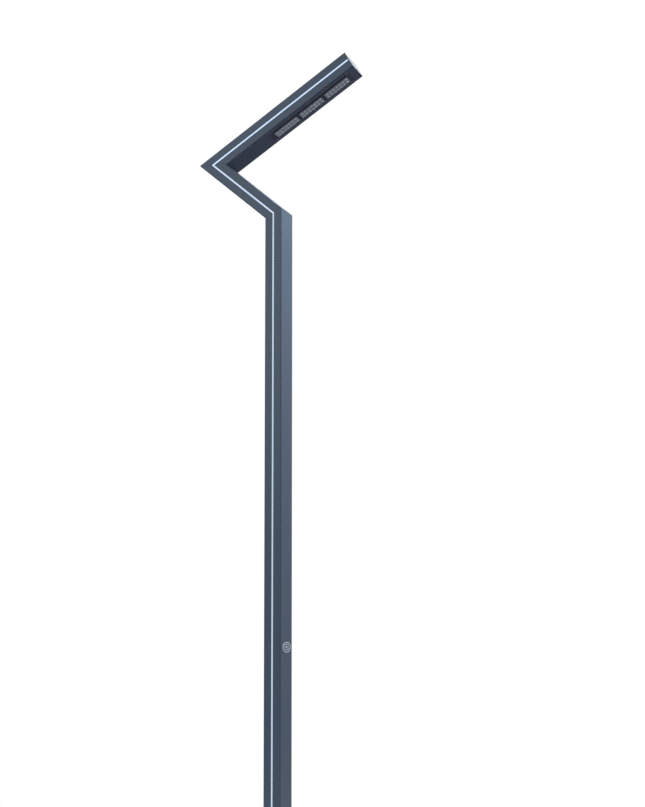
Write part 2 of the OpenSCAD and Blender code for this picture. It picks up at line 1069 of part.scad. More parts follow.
// Top-hat rail: its lips stand off the plate and its back lies on it
module din_rail() {
    back_h = 25;
    lip_h = (rail_h - back_h) / 2;
    color("#c2b98a")
        translate([gear_face, -gear_plate_w / 2, rail_z]) {
            translate([-rail_t, 0, -back_h / 2])
                cube([rail_t, gear_plate_w, back_h]);
            for (side = [-1, 1]) {
                translate([-rail_depth, 0, side * back_h / 2 - rail_t / 2])
                    cube([rail_depth, gear_plate_w, rail_t]);
                translate([-rail_depth, 0, side * (back_h + lip_h) / 2 - lip_h / 2])
                    cube([rail_t, gear_plate_w, lip_h]);
            }
        }
}

module rail_unit(y, w, h, depth) {
    translate([gear_face - rail_depth - depth, y - w / 2, rail_z - h / 2])
        cube([depth, w, h]);
}

module breaker_body() {
    color("#f1f1ee")
        difference() {
            rail_unit(breaker_y, breaker_w, breaker_h, breaker_depth);
            translate([breaker_face - bite, breaker_y - toggle_w / 2 - gap, rail_z - toggle_pocket_h / 2])
                cube([toggle_pocket_depth + bite, toggle_w + 2 * gap, toggle_pocket_h]);
            translate([toggle_x, breaker_y, rail_z])
                rotate([90, 0, 0])
                    cylinder(h = toggle_pin_w + 2 * gap, r = toggle_pin_r + running, center = true);
        }
}

// The lever stands tipped upwards where the breaker is on
module breaker_toggle() {
    color("#23262b")
        translate([toggle_x, breaker_y, rail_z]) {
            rotate([90, 0, 0]) {
                cylinder(h = toggle_w, r = toggle_r, center = true);
                cylinder(h = toggle_pin_w, r = toggle_pin_r, center = true);
            }
            rotate([0, toggle_turn / 2, 0])
                translate([-toggle_reach, -lever_w / 2, -toggle_t / 2])
                    cube([toggle_reach, lever_w, toggle_t]);
        }
}

module surge_protector() {
    color("#c94f3a")
        rail_unit(surge_y, breaker_w, breaker_h, breaker_depth - 8);
}

module terminal_block() {
    color("#8b9099")
        difference() {
            rail_unit(terminal_y, terminal_w, terminal_h, terminal_depth);
            for (k = [-2 : 2], side = [-1, 1])
                translate([
                    gear_face - rail_depth - terminal_depth - bite,
                    terminal_y + k * terminal_w / 5,
                    rail_z + side * terminal_h / 4
                ])
                    rotate([0, 90, 0])
                        cylinder(h = 6, r = 2);
        }
}

module earth_stud() {
    color("#c8a24a")
        translate([gear_face, 0, earth_z])
            rotate([0, -90, 0])
                cylinder(h = earth_length, r = earth_r);
}

module earth_nut() {
    color(steel)
        translate([gear_face, 0, earth_z])
            rotate([0, -90, 0])
                difference() {
                    cylinder(h = earth_nut_h, r = earth_nut_r, $fn = 6);
                    translate([0, 0, -bite])
                        cylinder(h = earth_nut_h + 2 * bite, r = earth_r);
                }
}

// ---- Medallion ----

// An oval of that width and height, in outline
module oval(width, height) {
    polygon([
        for (i = [0 : badge_sides - 1])
            [width / 2 * cos(i * 360 / badge_sides), height / 2 * sin(i * 360 / badge_sides)]
    ]);
}

// A raised oval band whose outer edge is width by height
module oval_band(width, height, band_w) {
    difference() {
        oval(width, height);
        oval(width - 2 * band_w, height - 2 * band_w);
    }
}

// An oval plate with a raised rim, a raised ring and a raised hub
module badge() {
    color("#c9ced6")
        translate([half_w, 0, badge_height])
            rotate([90, 0, 90]) {
                linear_extrude(badge_t - badge_dish)
                    oval(badge_w, badge_h);
                linear_extrude(badge_t) {
                    oval_band(badge_w, badge_h, badge_rim_w);
                    oval_band(badge_ring * badge_w, badge_ring * badge_h, badge_ring_w);
                    oval(badge_hub * badge_w, badge_hub * badge_h);
                }
            }
}

module badge_pins() {
    color(steel)
        for (y = [-1, 1])
            translate([half_w - badge_pin_length, y * badge_pin_y, badge_height])
                rotate([0, 90, 0])
                    cylinder(h = badge_pin_length, r = badge_pin_r);
}

base_plate();
base_gussets();
mast_profile();
knee_profile();
head_profile();
knee_splice();
head_splice();
knee_splice_screws();
head_splice_screws();
end_cap();
end_cap_gasket();
end_cap_screws();
end_cap_lugs();
line_stop();
mast_diffuser();
knee_diffuser();
head_diffuser();
mast_led_tape();
knee_led_tape();
head_led_tape();
module_tray();
tray_screws();
module_heatsink(1);  // module_heatsink_1
module_heatsink(2);  // module_heatsink_2
module_heatsink(3);  // module_heatsink_3
module_board(1);  // module_board_1
module_board(2);  // module_board_2
module_board(3);  // module_board_3
module_leds(1);  // module_leds_1
module_leds(2);  // module_leds_2
module_leds(3);  // module_leds_3
module_lens(1);  // module_lens_1
module_lens(2);  // module_lens_2
module_lens(3);  // module_lens_3
module_gaskets();
module_screws();
access_door();
door_gasket();
hinge_knuckles();
hinge_pins();
lock_housing();
lock_cam();
lock_nut();
gear_plate();
gear_studs();
gear_nuts();
led_driver();
line_driver();
driver_screws();
din_rail();
breaker_body();
breaker_toggle();
surge_protector();
terminal_block();
earth_stud();
earth_nut();
badge();
badge_pins();
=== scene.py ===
from math import cos, pi, radians, sin, tan

import bmesh
import bpy
import numpy as np
from mathutils import Matrix, Vector


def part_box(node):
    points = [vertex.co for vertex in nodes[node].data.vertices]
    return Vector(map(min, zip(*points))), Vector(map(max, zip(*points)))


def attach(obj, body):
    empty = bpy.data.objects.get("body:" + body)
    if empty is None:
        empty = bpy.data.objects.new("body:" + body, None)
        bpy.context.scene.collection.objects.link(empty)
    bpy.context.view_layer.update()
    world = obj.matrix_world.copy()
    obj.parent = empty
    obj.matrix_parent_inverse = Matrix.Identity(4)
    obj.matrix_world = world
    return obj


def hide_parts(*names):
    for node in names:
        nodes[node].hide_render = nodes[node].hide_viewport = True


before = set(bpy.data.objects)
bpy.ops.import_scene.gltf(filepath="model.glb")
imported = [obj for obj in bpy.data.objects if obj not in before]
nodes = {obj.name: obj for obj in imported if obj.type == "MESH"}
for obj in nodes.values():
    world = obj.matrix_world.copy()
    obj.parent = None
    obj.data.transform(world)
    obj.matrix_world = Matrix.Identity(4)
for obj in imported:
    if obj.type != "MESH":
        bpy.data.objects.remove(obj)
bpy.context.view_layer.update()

# ---- Studio ----
# A pale disc of floor round the foot and a white surround that is darker from below. A soft light
# stands high on the right, a broad one in front and a weak one behind the head. The camera stands at
# eye height.

knee_lean = radians(-49.5)
head_lean = radians(59)
half_w = 0.050
half_d = 0.080
bend = Vector((0, 0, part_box("mast_profile")[1].z - half_w * tan(-knee_lean / 2)))

camera_data = bpy.data.cameras.new("camera")
camera_data.lens = 59.16
camera_data.sensor_width = 36
camera_data.shift_x = 0.016
camera_data.shift_y = 0.0898
camera_data.clip_end = 60
camera = bpy.data.objects.new("camera", camera_data)
camera.location = bend + Vector((2.8915, -6.6942, -2.1853))
camera.rotation_euler = (pi / 2 + 0.09827, 0, 0.38408)
bpy.context.scene.collection.objects.link(camera)
bpy.context.scene.camera = camera
bpy.context.scene.view_settings.view_transform = "Standard"


def add(tree, kind, fed=None, **settings):
    """Adds a shader node. settings are its properties, and fed maps an input's name or number to a value
    or a socket."""
    made = tree.nodes.new(kind)
    for name, value in settings.items():
        setattr(made, name, value)
    for name, value in (fed or {}).items():
        socket = made.inputs[name]
        if isinstance(value, bpy.types.NodeSocket):
            tree.links.new(value, socket)
        else:
            socket.default_value = value
    return made


world = bpy.data.worlds.new("studio")
bpy.context.scene.world = world
world.use_nodes = True
sky = world.node_tree
sky.nodes.clear()
direction = add(sky, "ShaderNodeSeparateXYZ", {0: add(sky, "ShaderNodeTexCoord").outputs["Generated"]})
height = add(sky, "ShaderNodeMapRange", {0: direction.outputs[2], 1: -0.7, 2: 0.7, 3: 0.0, 4: 1.0})
below, above = (0.15, 0.13, 0.17, 1), (0.41, 0.46, 0.51, 1)
shade = add(sky, "ShaderNodeMixRGB", {0: height.outputs[0], 1: below, 2: above})
lit = add(sky, "ShaderNodeBackground", {0: shade.outputs[0], 1: 1.0})
seen = add(sky, "ShaderNodeBackground", {0: (1, 1, 1, 1), 1: 1.0})
is_camera = add(sky, "ShaderNodeLightPath").outputs["Is Camera Ray"]
surround = add(sky, "ShaderNodeMixShader", {0: is_camera, 1: lit.outputs[0], 2: seen.outputs[0]})
add(sky, "ShaderNodeOutputWorld", {0: surround.outputs[0]})


def soft_light(name, place, aim, size, power, colour):
    """A square area light at place, turned towards aim."""
    data = bpy.data.lights.new(name, "AREA")
    data.size = size
    data.energy = power
    data.color = colour
    light = bpy.data.objects.new(name, data)
    light.location = place
    light.rotation_euler = (Vector(aim) - Vector(place)).to_track_quat("-Z", "Y").to_euler()
    light.visible_camera = False
    bpy.context.scene.collection.objects.link(light)


soft_light("key", (2.3, 0.5, 5.9), (0, 0, 3.3), 1.2, 200, (0.92, 0.97, 1.0))
soft_light("front", (-2.2, -6.2, 5.0), (0, 0, 3.3), 4.4, 116, (0.84, 0.94, 1.0))
soft_light("tip", (-0.5, 4.3, 7.0), (0.45, 0, 4.57), 1.2, 15, (0.96, 0.98, 1.0))

floor_radius = 2.2
floor_sides = 96
floor_drop = 0.0005
rim = np.linspace(0, 2 * pi, floor_sides, endpoint=False)
floor_level = np.full(floor_sides, -floor_drop)
floor_mesh = bpy.data.meshes.new("floor")
floor_mesh.from_pydata(
    np.stack([floor_radius * np.cos(rim), floor_radius * np.sin(rim), floor_level], 1).tolist(),
    [],
    [list(range(floor_sides))],
)
floor = bpy.data.objects.new("floor", floor_mesh)
bpy.context.scene.collection.objects.link(floor)
paving = bpy.data.materials.new("pale_floor")
paving.use_nodes = True
paving_shader = paving.node_tree.nodes["Principled BSDF"]
paving_shader.inputs["Base Color"].default_value = (0.74, 0.73, 0.72, 1)
paving_shader.inputs["Roughness"].default_value = 0.7
floor_mesh.materials.append(paving)

# ---- Profiles ----
# Mast, knee and head arm: one extruded aluminium box profile, cut and mitred into three lengths and
# coated in satin slate powder. The die leaves faint lines along it, and the coat thins on its edges.
# The coat is darker on those edges, and in and beside the light groove it carries a painted shadow
# line.

slate = (0.080, 0.108, 0.150, 1)
coat_bump = 0.00009
corner_r = 0.006
groove_half = 0.0048


def new_group(name, inputs, outputs):
    """Starts a node group. inputs are (socket type, name, value), outputs are (socket type, name)."""
    tree = bpy.data.node_groups.new(name, "ShaderNodeTree")
    for kind, label, value in inputs:
        tree.interface.new_socket(label, in_out="INPUT", socket_type=kind).default_value = value
    for kind, label in outputs:
        tree.interface.new_socket(label, in_out="OUTPUT", socket_type=kind)
    return tree, tree.nodes.new("NodeGroupInput").outputs


def noise(tree, place, scale, detail=2.0, stretch=None):
    """Noise of that scale per metre at place, which is first scaled by stretch where there is one."""
    if stretch is not None:
        place = add(tree, "ShaderNodeMapping", {"Vector": place, "Scale": stretch}).outputs[0]
    return add(tree, "ShaderNodeTexNoise", {"Vector": place, "Scale": scale, "Detail": detail}).outputs["Fac"]


def ramp(tree, value, low, high, start=0.0, end=1.0):
    """Carries value from low..high to start..end, smoothly and without overshoot."""
    fed = {0: value, 1: low, 2: high, 3: start, 4: end}
    return add(tree, "ShaderNodeMapRange", fed, interpolation_type="SMOOTHSTEP").outputs[0]


def calc(tree, operation, *values):
    """One math node."""
    return add(tree, "ShaderNodeMath", dict(enumerate(values)), operation=operation).outputs[0]


def blend(tree, share, under, over, how="MIX"):
    """One colour over another, by share."""
    return add(tree, "ShaderNodeMixRGB", {0: share, 1: under, 2: over}, blend_type=how).outputs[0]


def powder_coat_group():
    """Powder coat: orange peel, metal flecks, die lines along z, slow tone drift, worn edges and
    streaked dust. Edge darkens the coat where it thins, and beside the groove it paints a shadow line."""
    vector, colour, number = "NodeSocketVector", "NodeSocketColor", "NodeSocketFloat"
    tree, given = new_group(
        "powder_coat",
        [(vector, "Along", (0, 0, 0)), (colour, "Tone", slate), (number, "Edge", 0.0), (number, "Dust", 0.0)],
        [(colour, "Color"), (number, "Roughness"), (number, "Height")],
    )
    along = given["Along"]
    peel = noise(tree, along, 480, 2)
    fleck = noise(tree, along, 1300, 3)
    lines = noise(tree, along, 1, 2, (650, 650, 0.7))
    drift = noise(tree, along, 2.4, 3)
    streak = noise(tree, along, 1, 4, (70, 70, 3.5))
    drifted = blend(tree, ramp(tree, drift, 0.3, 0.7), given["Tone"], (0.93, 0.96, 1.0, 1), "MULTIPLY")
    flecked = blend(tree, ramp(tree, fleck, 0.57, 0.74, 0, 0.45), drifted, (0.26, 0.30, 0.36, 1))
    # Darker where Edge is set: the coat thinning on the rounded edges, and a painted shadow line in and
    # beside the groove.
    thinned_and_groove_shadow = blend(tree, calc(tree, "MULTIPLY", given["Edge"], 0.55), flecked, (0.035, 0.042, 0.058, 1))
    chips = calc(tree, "MULTIPLY", given["Edge"], ramp(tree, noise(tree, along, 160, 4), 0.66, 0.70))
    chipped = blend(tree, calc(tree, "MULTIPLY", chips, 0.7), thinned_and_groove_shadow, (0.34, 0.36, 0.38, 1))
    dusty = calc(tree, "MULTIPLY", given["Dust"], ramp(tree, streak, 0.25, 0.75, 0.25, 1.0))
    finished = blend(tree, calc(tree, "MULTIPLY", dusty, 0.6), chipped, (0.25, 0.24, 0.22, 1))
    rough = calc(tree, "ADD", ramp(tree, peel, 0.3, 0.7, 0.36, 0.44), calc(tree, "MULTIPLY", dusty, 0.3))
    relief = calc(tree, "ADD", peel, calc(tree, "MULTIPLY", lines, 0.3))
    add(tree, "NodeGroupOutput", {"Color": finished, "Roughness": rough, "Height": relief})
    return tree


def edges_and_groove_shadow_group():
    """1 on the profile's four rounded long edges, and in and beside its groove for a painted shadow line
    there, 0 on its flats, from the place across the run."""
    tree, given = new_group(
        "edges_and_groove_shadow", [("NodeSocketVector", "Along", (0, 0, 0))], [("NodeSocketFloat", "Edge")]
    )
    place = add(tree, "ShaderNodeSeparateXYZ", {0: given["Along"]})
    across = calc(tree, "ABSOLUTE", place.outputs[0])
    depth = calc(tree, "ABSOLUTE", place.outputs[1])
    corner = calc(
        tree,
        "MULTIPLY",
        ramp(tree, across, half_w - 0.0075, half_w - 0.002),
        ramp(tree, depth, half_d - 0.0075, half_d - 0.002),
    )
    # Painted shadow line: the coat in and beside the light groove is darkened for the shade of the groove's
    # gap.
    groove_shadow = calc(
        tree,
        "MULTIPLY",
        ramp(tree, across, groove_half, groove_half + 0.0014, 1, 0),
        ramp(tree, place.outputs[1], -half_d + 0.0005, -half_d + 0.001, 1, 0),
    )
    add(tree, "NodeGroupOutput", {"Edge": calc(tree, "MAXIMUM", corner, groove_shadow)})
    return tree


def settled_dust_group():
    """Dust that splashes up to Reach above the ground and settles on faces that look up."""
    tree, given = new_group(
        "settled_dust", [("NodeSocketFloat", "Reach", 0.5)], [("NodeSocketFloat", "Dust")]
    )
    place = add(tree, "ShaderNodeTexCoord").outputs["Object"]
    above = add(tree, "ShaderNodeSeparateXYZ", {0: place}).outputs[2]
    low = calc(tree, "POWER", ramp(tree, calc(tree, "DIVIDE", above, given["Reach"]), 0, 1, 1, 0), 1.5)
    normal = add(tree, "ShaderNodeNewGeometry").outputs["Normal"]
    facing = add(tree, "ShaderNodeSeparateXYZ", {0: normal}).outputs[2]
    lying = ramp(tree, facing, 0.55, 0.95, 0, 0.7)
    patchy = ramp(tree, noise(tree, place, 11, 5), 0.3, 0.7, 0.35, 1)
    add(tree, "NodeGroupOutput", {"Dust": calc(tree, "MULTIPLY", calc(tree, "MAXIMUM", low, lying), patchy)})
    return tree


powder_coat = powder_coat_group()
edges_and_groove_shadow = edges_and_groove_shadow_group()
settled_dust = settled_dust_group()


def new_material(name, metallic=0.0):
    """Starts a material and returns it with its tree, its Principled shader and its Object coordinates."""
    material = bpy.data.materials.new(name)
    material.use_nodes = True
    tree = material.node_tree
    shader = tree.nodes["Principled BSDF"]
    shader.inputs["Metallic"].default_value = metallic
    return material, tree, shader, add(tree, "ShaderNodeTexCoord").outputs["Object"]


def finish_shader(tree, shader, colour, rough, relief, bump, strength=1.0):
    """Feeds the shader its colour and roughness, and its normal from a bump that deep in metres."""
    tree.links.new(colour, shader.inputs["Base Color"])
    tree.links.new(rough, shader.inputs["Roughness"])
    bumped = add(tree, "ShaderNodeBump", {"Height": relief, "Distance": bump, "Strength": strength})
    tree.links.new(bumped.outputs[0], shader.inputs["Normal"])


def use_group(tree, made, **fed):
    """Places a node group in a material and feeds it."""
    return add(tree, "ShaderNodeGroup", fed, node_tree=made).outputs


def along_run(tree, place, start, lean):
    """The place in a run's own frame, with z along the run from its start."""
    fed = {"Vector": place, "Location": start, "Rotation": (0, lean, 0)}
    return add(tree, "ShaderNodeMapping", fed, vector_type="TEXTURE").outputs[0]


def coat_material(name, start, lean, tone=slate, edges=True, reach=0.5):
    """Powder coat on a run that starts at start and leans by lean from upright, towards +X."""
    material, tree, shader, place = new_material(name)
    shader.inputs["Specular IOR Level"].default_value = 0.42
    along = along_run(tree, place, start, lean)
    dust = use_group(tree, settled_dust, Reach=reach)["Dust"]
    edge = use_group(tree, edges_and_groove_shadow, Along=along)["Edge"] if edges else 0.0
    coat = use_group(tree, powder_coat, Along=along, Tone=tone, Edge=edge, Dust=dust)
    finish_shader(tree, shader, coat["Color"], coat["Roughness"], coat["Height"], coat_bump, 0.7)
    return material


def dress(material, *names):
    """Gives CAD pieces a material."""
    for name in names:
        for slot in nodes[name].material_slots:
            slot.material = material


knee_length = 0.495
apex = bend + knee_length * Vector((sin(knee_lean), 0, cos(knee_lean)))
mast_coat = coat_material("slate_coat_mast", (0, 0, 0), 0)
knee_coat = coat_material("slate_coat_knee", bend, knee_lean)
head_coat = coat_material("slate_coat_head", apex, head_lean)
dress(mast_coat, "mast_profile")
dress(knee_coat, "knee_profile")
dress(head_coat, "head_profile")

# ---- Mitre welds ----
# The three lengths are welded where they meet and the welds are ground back, which leaves a fine
# raised seam round each mitre. It stops on both sides of the groove, so that the light line runs on.

seam_radius = 0.00035
seam_sunk = 0.0004


def grid_faces(index):
    """The four-sided faces between neighbouring points, from a grid of point numbers."""
    corners = [index[:-1, :-1], index[1:, :-1], index[1:, 1:], index[:-1, 1:]]
    return np.stack(corners, -1).reshape(-1, 4).tolist()


def grid_piece(name, points, body, material, wrap_rows=False, wrap_columns=False):
    """Makes a smooth closed piece from a grid of points: row i runs along it, column j round it.
    Faces join neighbouring points, and points that coincide are merged, which closes seams and poles."""
    rows, columns = points.shape[:2]
    index = np.arange(rows * columns).reshape(rows, columns)
    if wrap_rows:
        index = np.concatenate([index, index[:1]], 0)
    if wrap_columns:
        index = np.concatenate([index, index[:, :1]], 1)
    mesh = bpy.data.meshes.new(name)
    mesh.from_pydata(points.reshape(-1, 3).tolist(), [], grid_faces(index))
    return finish_piece(name, mesh, body, material)


def finish_piece(name, mesh, body, material):
    """Merges doubles, turns faces outwards, smooths, and puts the piece on its body."""
    work = bmesh.new()
    work.from_mesh(mesh)
    bmesh.ops.remove_doubles(work, verts=work.verts, dist=1e-6)
    bmesh.ops.dissolve_degenerate(work, edges=work.edges, dist=1e-7)
    bmesh.ops.recalc_face_normals(work, faces=work.faces)
    work.to_mesh(mesh)
    work.free()
    mesh.polygons.foreach_set("use_smooth", np.ones(len(mesh.polygons), bool))
    mesh.set_sharp_from_angle(angle=radians(35))
    mesh.materials.append(material)
    piece = bpy.data.objects.new(name, mesh)
    bpy.context.scene.collection.objects.link(piece)
    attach(piece, body)
    return piece


def rounded_outline(half_x, half_y, radius, steps=6):
    """Points round a rounded rectangle, anticlockwise from its -y side, and their outward directions."""
    turn = np.linspace(0, pi / 2, steps)
    starts = np.array([-pi / 2, 0, pi / 2, pi])[:, None]
    angle = (starts + turn).ravel()
    centre_x = np.repeat([1, 1, -1, -1], steps) * (half_x - radius)
    centre_y = np.repeat([-1, 1, 1, -1], steps) * (half_y - radius)
    outward = np.stack([np.cos(angle), np.sin(angle)], 1)
    return np.stack([centre_x, centre_y], 1) + radius * outward, outward


def mitre_seam(name, joint, lean, rise, sign):
    """A round bead, half sunk, carried round the profile's outline where the mitre cuts it.
    In the run's own frame a point of the outline at x lies sign * tan(rise) * x along the run."""
    outline, outward = rounded_outline(half_w, half_d, corner_r)
    ends = np.array([[groove_half, -half_d], [-groove_half, -half_d]])
    path = np.concatenate([ends[:1], outline, ends[1:]], 0)
    ways = np.concatenate([[[0, -1]], outward, [[0, -1]]], 0)
    radius = np.full(len(path), seam_radius)
    radius[[0, -1]] = 0
    round_it = np.linspace(0, 2 * pi, 8, endpoint=False)
    side = radius[:, None] * (0.5 + np.cos(round_it)[None]) - seam_sunk
    up = radius[:, None] * np.sin(round_it)[None] * 1.6
    flat = path[:, None, :] + side[..., None] * ways[:, None, :]
    along = sign * tan(rise) * flat[..., 0] + up
    turned = Matrix.Translation(joint) @ Matrix.Rotation(lean, 4, "Y")
    local = np.concatenate([flat, along[..., None], np.ones(along.shape + (1,))], -1)
    points = (local @ np.array(turned).T)[..., :3]
    points[..., 0] = np.maximum(points[..., 0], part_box("knee_profile")[0].x)
    grid_piece(name, points, "post", mast_coat, wrap_columns=True)


mitre_seam("lower_mitre_weld", bend, 0, -knee_lean / 2, 1)
mitre_seam("upper_mitre_weld", apex, knee_lean, (head_lean - knee_lean) / 2, -1)

# ---- Foot ----
# A flanged plate with four gussets, cut from aluminium plate, welded to the mast and coated with it.
# The welds are rippled fillets, laid down before the coat.

plate_coat = coat_material("slate_coat_foot", (0, 0, 0), 0, edges=False, reach=0.16)
dress(plate_coat, "base_plate", "base_gussets")


def fillet_weld(path, first, second, size, tapered):
    """A fillet along path: a bulging quarter round between the directions first and second, with ripples
    like overlapped coins. Returns its grid of points, closed through the corner that it fills."""
    reach = np.concatenate([[0], np.cumsum(np.linalg.norm(np.diff(path, axis=0), axis=1))])
    coins = 1 + 0.10 * np.abs(np.sin(pi * reach / 0.0034))
    scale = size * coins
    if tapered:
        scale = scale * np.minimum(1, np.sqrt(np.minimum(reach, reach[-1] - reach) / 0.003))
    turn = np.linspace(0, pi / 2, 7)
    bulge = 1 + 0.12 * np.sin(2 * turn)
    over = (np.cos(turn) * bulge)[None, :, None] * first[:, None]
    up = (np.sin(turn) * bulge)[None, :, None] * second[:, None]
    corner = -0.15 * (first + second)[:, None]
    return path[:, None] + scale[:, None, None] * np.concatenate([over + up, corner], 1)


def evenly(path, step):
    """The same path with points at every step along it."""
    length = np.concatenate([[0], np.cumsum(np.linalg.norm(np.diff(path, axis=0), axis=1))])
    at = np.linspace(0, length[-1], int(length[-1] / step) + 1)
    return np.stack([np.interp(at, length, path[:, k]) for k in range(path.shape[1])], 1)


plate_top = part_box("base_plate")[1].z
gusset_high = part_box("base_gussets")[1]
gusset_t = 0.008
gusset_y = gusset_high.y - gusset_t / 2
weld_size = 0.0042
weld_step = 0.0007

ring = np.concatenate(rounded_outline(half_w, half_d, corner_r), 1)
loop = evenly(np.concatenate([ring, ring[:1]]), weld_step)[:-1]
loop_path = np.concatenate([loop[:, :2], np.full((len(loop), 1), plate_top)], 1)
loop_out = np.concatenate([loop[:, 2:], np.zeros((len(loop), 1))], 1)
loop_up = np.tile([0.0, 0.0, 1.0], (len(loop), 1))
grid_piece(
    "mast_foot_weld",
    fillet_weld(loop_path, loop_out, loop_up, weld_size, False),
    "post", plate_coat, wrap_rows=True, wrap_columns=True,
)

for side in (-1, 1):
    for row in (-1, 1):
        for face in (-1, 1):
            y = row * gusset_y + face * gusset_t / 2
            inner, outer = side * (half_w + weld_size), side * (gusset_high.x - 0.001)
            foot = np.array([[inner, y, plate_top], [outer, y, plate_top]])
            wall = side * half_w
            climb = np.array([[wall, y, plate_top + weld_size], [wall, y, gusset_high.z - 0.002]])
            for name, run, second in (("foot", foot, (0, 0, 1)), ("climb", climb, (side, 0, 0))):
                path = evenly(run, weld_step)
                first = np.tile([0.0, float(face), 0.0], (len(path), 1))
                rise = np.tile(np.array(second, float), (len(path), 1))
                label = f"gusset_{name}_weld_{side + 1}{row + 1}{face + 1}"
                grid_piece(
                    label, fillet_weld(path, first, rise, weld_size * 0.8, True),
                    "post", plate_coat, wrap_columns=True,
                )

# ---- Corner splices and screws ----
# Bent box connectors of bare aluminium inside both mitres, and countersunk stainless screws, turned
# and brushed, that hold them through the back face.


def metal_group():
    """Bare metal: a fine grain stretched along Grain, slow stains, and scratches that catch the light."""
    vector, colour, number = "NodeSocketVector", "NodeSocketColor", "NodeSocketFloat"
    tree, given = new_group(
        "bare_metal",
        [(vector, "Grain", (0, 0, 0)), (colour, "Tone", (0.6, 0.61, 0.63, 1)), (number, "Gloss", 0.3)],
        [(colour, "Color"), (number, "Roughness"), (number, "Height")],
    )
    grain = noise(tree, given["Grain"], 1, 3)
    stain = noise(tree, add(tree, "ShaderNodeTexCoord").outputs["Object"], 45, 4)
    stained = blend(tree, ramp(tree, stain, 0.45, 0.75, 0, 0.5), given["Tone"], (0.33, 0.32, 0.30, 1))
    grained = blend(tree, ramp(tree, grain, 0.35, 0.65, 0, 0.22), stained, (0.16, 0.16, 0.17, 1))
    rough = calc(tree, "ADD", given["Gloss"], ramp(tree, stain, 0.3, 0.8, 0, 0.18))
    add(tree, "NodeGroupOutput", {"Color": grained, "Roughness": rough, "Height": grain})
    return tree


bare_metal = metal_group()


def metal_material(name, tone, gloss, stretch, bump=0.00002, metallic=1.0):
    """Bare metal whose grain is stretched by stretch, in grains per metre along x, y and z."""
    material, tree, shader, place = new_material(name, metallic)
    grain = add(tree, "ShaderNodeMapping", {"Vector": place, "Scale": stretch}).outputs[0]
    metal = use_group(tree, bare_metal, Grain=grain, Tone=tone, Gloss=gloss)
    finish_shader(tree, shader, metal["Color"], metal["Roughness"], metal["Height"], bump, 0.5)
    return material


mill_aluminium = metal_material("mill_aluminium", (0.58, 0.60, 0.62, 1), 0.34, (900, 900, 30))
stainless = metal_material("stainless", (0.60, 0.61, 0.62, 1), 0.24, (1500, 1500, 1500))
dress(mill_aluminium, "knee_splice", "head_splice", "end_cap_lugs")
dress(stainless, "knee_splice_screws", "head_splice_screws", "end_cap_screws", "tray_screws", "module_screws")

# ---- Light line ----
# An opal acrylic bar, flush with the face, over a strip of white board with phosphor squares. The bar
# glows ice blue and white, a little brighter over each emitter.

emitter_pitch = 0.0167


def line_material(name, start, lean, glow):
    """Opal acrylic lit from behind: its glow swells over each emitter along the run."""
    material, tree, shader, place = new_material(name)
    along = along_run(tree, place, start, lean)
    run = add(tree, "ShaderNodeSeparateXYZ", {0: along}).outputs[2]
    wave = calc(tree, "SINE", calc(tree, "MULTIPLY", run, 2 * pi / emitter_pitch))
    swell = ramp(tree, wave, -1, 1, 0.0, 0.30)
    cloudy = noise(tree, along, 90, 3)
    light = blend(tree, swell, glow, (0.62, 0.70, 0.84, 1))
    body = blend(tree, ramp(tree, cloudy, 0.4, 0.6, 0, 0.2), (0.60, 0.67, 0.74, 1), (0.52, 0.60, 0.68, 1))
    tree.links.new(light, shader.inputs["Emission Color"])
    shader.inputs["Emission Strength"].default_value = 0.8
    finish_shader(tree, shader, body, ramp(tree, cloudy, 0.3, 0.7, 0.24, 0.34), cloudy, 0.00002, 0.4)
    return material


dress(line_material("opal_line_mast", (0, 0, 0), 0, (0.25, 0.305, 0.36, 1)), "mast_diffuser")
dress(line_material("opal_line_knee", bend, knee_lean, (0.36, 0.45, 0.60, 1)), "knee_diffuser")
dress(line_material("opal_line_head", apex, head_lean, (0.44, 0.56, 0.78, 1)), "head_diffuser")


def tape_material(name, start, lean):
    """White board with yellow phosphor squares every pitch and thin copper tracks along both edges."""
    material, tree, shader, place = new_material(name)
    along = along_run(tree, place, start, lean)
    parts = add(tree, "ShaderNodeSeparateXYZ", {0: along})
    across = calc(tree, "ABSOLUTE", parts.outputs[0])
    step = calc(tree, "PINGPONG", parts.outputs[2], emitter_pitch / 2)
    long_side, cross_side = (ramp(tree, way, 0.0013, 0.0015, 1, 0) for way in (step, across))
    square = calc(tree, "MULTIPLY", long_side, cross_side)
    inner, outer = ramp(tree, across, 0.0026, 0.0027), ramp(tree, across, 0.0031, 0.0032, 1, 0)
    track = calc(tree, "MULTIPLY", inner, outer)
    board = blend(tree, track, (0.86, 0.86, 0.82, 1), (0.62, 0.34, 0.16, 1))
    board = blend(tree, square, board, (0.92, 0.72, 0.16, 1))
    fine = noise(tree, along, 900, 2)
    finish_shader(tree, shader, board, ramp(tree, fine, 0.3, 0.7, 0.4, 0.55), fine, 0.00002, 0.4)
    return material


dress(tape_material("light_tape_mast", (0, 0, 0), 0), "mast_led_tape")
dress(tape_material("light_tape_knee", bend, knee_lean), "knee_led_tape")
dress(tape_material("light_tape_head", apex, head_lean), "head_led_tape")


def rubber_material(name, tone):
    """Moulded rubber: dull, finely pitted, bloomed with grey in patches."""
    material, tree, shader, place = new_material(name)
    shader.inputs["Specular IOR Level"].default_value = 0.3
    pits = noise(tree, place, 1500, 3)
    bloom = noise(tree, place, 60, 4)
    colour = blend(tree, ramp(tree, bloom, 0.5, 0.8, 0, 0.35), tone, (0.11, 0.11, 0.115, 1))
    finish_shader(tree, shader, colour, ramp(tree, bloom, 0.3, 0.7, 0.62, 0.82), pits, 0.00006, 0.6)
    return material


black_rubber = rubber_material("black_rubber", (0.022, 0.022, 0.025, 1))
dress(black_rubber, "line_stop", "end_cap_gasket", "module_gaskets", "door_gasket")
